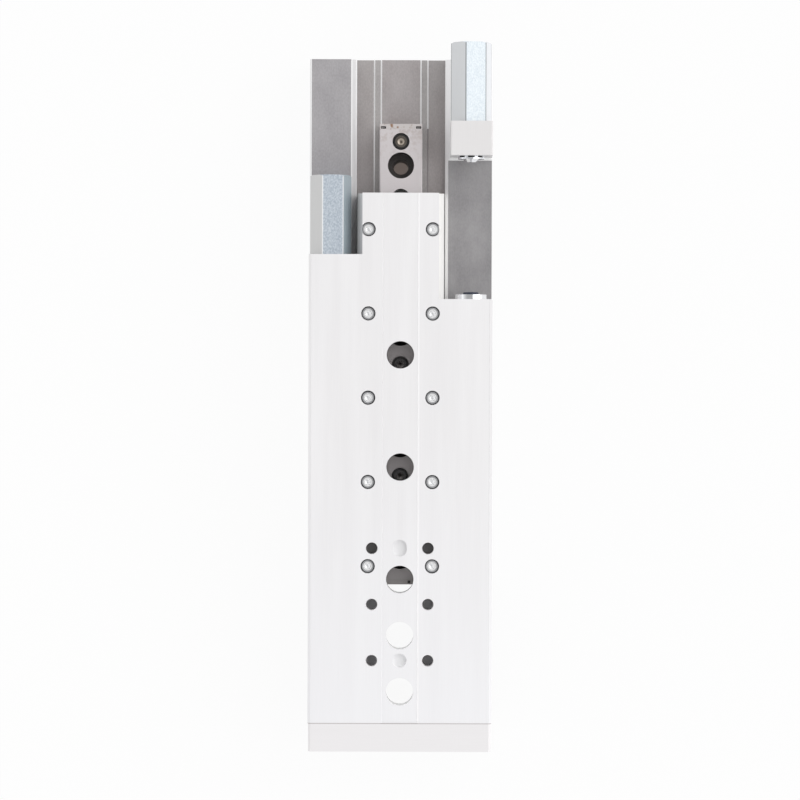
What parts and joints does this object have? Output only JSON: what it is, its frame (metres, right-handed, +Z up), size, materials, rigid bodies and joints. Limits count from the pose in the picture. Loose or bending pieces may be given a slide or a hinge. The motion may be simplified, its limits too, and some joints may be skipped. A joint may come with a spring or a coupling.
{
  "type": "pneumatic mini slide",
  "caption": "Compact pneumatic slide: low housing with twin pistons, ball-guided table with front yoke, and adjustable end stops with hexagon lock sleeves.",
  "frame": {"origin": "middle of the housing's flat underside", "axes": "+X to the right seen from above with the yoke towards the viewer, +Y to the rear, +Z up"},
  "size_m": [0.0654, 0.2531, 0.04],
  "materials": {
    "housing_anodised": "milled and anodised aluminium extrusion",
    "slide_anodised": "satin clear-anodised aluminium",
    "yoke_anodised": "satin clear-anodised aluminium",
    "block_anodised": "drawn and clear-anodised aluminium",
    "rail_steel": "hardened and ground steel",
    "channel_steel": "hardened and ground steel",
    "ball_steel": "polished bearing steel",
    "cage_plastic": "moulded acetal",
    "cap_steel": "ground steel plate",
    "black_screws": "black oxide steel",
    "plated_screws": "zinc-plated steel",
    "sleeve_zinc": "zinc-plated hexagon steel",
    "stop_steel": "hardened bright steel",
    "ring_steel": "spring steel",
    "rod_chrome": "hard-chromed ground steel",
    "piston_aluminium": "turned aluminium",
    "magnet_ferrite": "plastic-bonded ferrite",
    "bush_brass": "turned bearing bronze",
    "seal_rubber": "nitrile rubber",
    "buffer_rubber": "polyurethane buffer"
  },
  "bodies": {
    "housing": {"housing": "housing_anodised", "guide_rail": "rail_steel", "rail_screws": "black_screws", "rail_end_cap_rear": "cap_steel", "rail_end_cap_front": "cap_steel", "stop_block": "block_anodised", "stop_block_screws": "plated_screws", "right_lock_sleeve": "sleeve_zinc", "counter_stop_block": "block_anodised", "counter_stop_screws": "plated_screws", "left_buffer_holder": "stop_steel", "left_buffer": "buffer_rubber", "left_rod_bush": "bush_brass", "right_rod_bush": "bush_brass", "left_rod_seal": "seal_rubber", "right_rod_seal": "seal_rubber", "left_rod_wiper": "seal_rubber", "right_rod_wiper": "seal_rubber", "bush_o_rings": "seal_rubber", "retaining_rings": "ring_steel", "passage_plugs": "plated_screws"},
    "slide": {"slide": "slide_anodised", "guide_channel": "channel_steel", "channel_screws": "plated_screws", "yoke_plate": "yoke_anodised", "yoke_screws": "plated_screws", "rod_screws": "plated_screws", "left_piston_rod": "rod_chrome", "right_piston_rod": "rod_chrome", "left_piston": "piston_aluminium", "right_piston": "piston_aluminium", "left_piston_seals": "seal_rubber", "right_piston_seals": "seal_rubber", "left_piston_magnet": "magnet_ferrite", "right_piston_magnet": "magnet_ferrite", "left_wear_ring": "cage_plastic", "right_wear_ring": "cage_plastic", "left_lock_sleeve": "sleeve_zinc", "right_buffer_holder": "stop_steel", "right_buffer": "buffer_rubber"},
    "ball_cages": {"left_ball_cage": "cage_plastic", "left_balls": "ball_steel", "right_ball_cage": "cage_plastic", "right_balls": "ball_steel"},
    "right_stop_pin": {"right_stop_pin": "stop_steel"},
    "right_stop_screw": {"right_stop_screw": "stop_steel"},
    "left_stop_pin": {"left_stop_pin": "stop_steel"},
    "left_stop_screw": {"left_stop_screw": "stop_steel"}
  },
  "joints": [
    {"name": "slide_travel", "type": "slide", "parent": "housing", "child": "slide", "axis": [0, -1, 0], "range_m": [-0.04645, 0.03345]},
    {"name": "cage_travel", "type": "slide", "parent": "housing", "child": "ball_cages", "axis": [0, -1, 0], "range_m": [-0.02325, 0.01675]},
    {"name": "right_stop_turn", "type": "hinge", "parent": "right_stop_pin", "child": "right_stop_screw", "pos_m": [0.0251, 0.08, 0.03225], "axis": [0, -1, 0], "range_deg": [0, 1441]},
    {"name": "right_stop_advance", "type": "slide", "parent": "housing", "child": "right_stop_pin", "axis": [0, 1, 0], "range_m": [0, 0.004]},
    {"name": "left_stop_turn", "type": "hinge", "parent": "left_stop_pin", "child": "left_stop_screw", "pos_m": [-0.0251, 0.03, 0.03225], "axis": [0, -1, 0], "range_deg": [0, 1441]},
    {"name": "left_stop_advance", "type": "slide", "parent": "slide", "child": "left_stop_pin", "axis": [0, 1, 0], "range_m": [0, 0.004]}
  ],
  "couplings": [
    {"joint": "cage_travel", "follows": "slide_travel", "ratio": 0.5},
    {"joint": "right_stop_turn", "follows": "right_stop_advance", "rad_per_m": 6283.2},
    {"joint": "left_stop_turn", "follows": "left_stop_advance", "rad_per_m": 6283.2}
  ]
}
